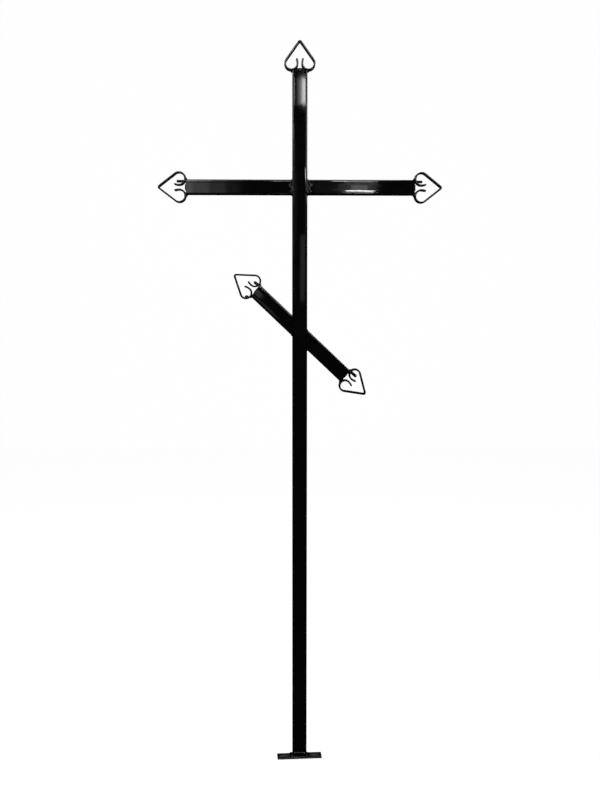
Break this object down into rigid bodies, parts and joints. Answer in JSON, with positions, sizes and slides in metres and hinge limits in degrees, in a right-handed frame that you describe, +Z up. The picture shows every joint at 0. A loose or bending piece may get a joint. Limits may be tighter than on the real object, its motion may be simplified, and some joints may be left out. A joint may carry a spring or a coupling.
{
  "type": "welded steel grave cross",
  "caption": "Tall thin grave cross of welded black tube: post, crossbar, slanted lower bar, open strip hearts on the free ends and a short flat bar across the foot.",
  "frame": {"origin": "middle of the underside of the foot bar, where the cross is set in the ground", "axes": "+Z up along the post, +X to the right along the crossbar as seen from the front, front faces -Y"},
  "size_m": [0.7425, 0.0366, 1.9485],
  "materials": {
    "black_paint": "gloss black brushed enamel over mild steel"
  },
  "bodies": {
    "root": {"foot_bar": "black_paint", "post": "black_paint", "left_arm": "black_paint", "right_arm": "black_paint", "upper_arm": "black_paint", "lower_arm": "black_paint", "top_plate": "black_paint", "left_plate": "black_paint", "right_plate": "black_paint", "upper_plate": "black_paint", "lower_plate": "black_paint", "top_heart": "black_paint", "left_heart": "black_paint", "right_heart": "black_paint", "upper_heart": "black_paint", "lower_heart": "black_paint", "left_peg": "black_paint", "right_peg": "black_paint", "upper_peg": "black_paint", "lower_peg": "black_paint"}
  },
  "joints": []
}
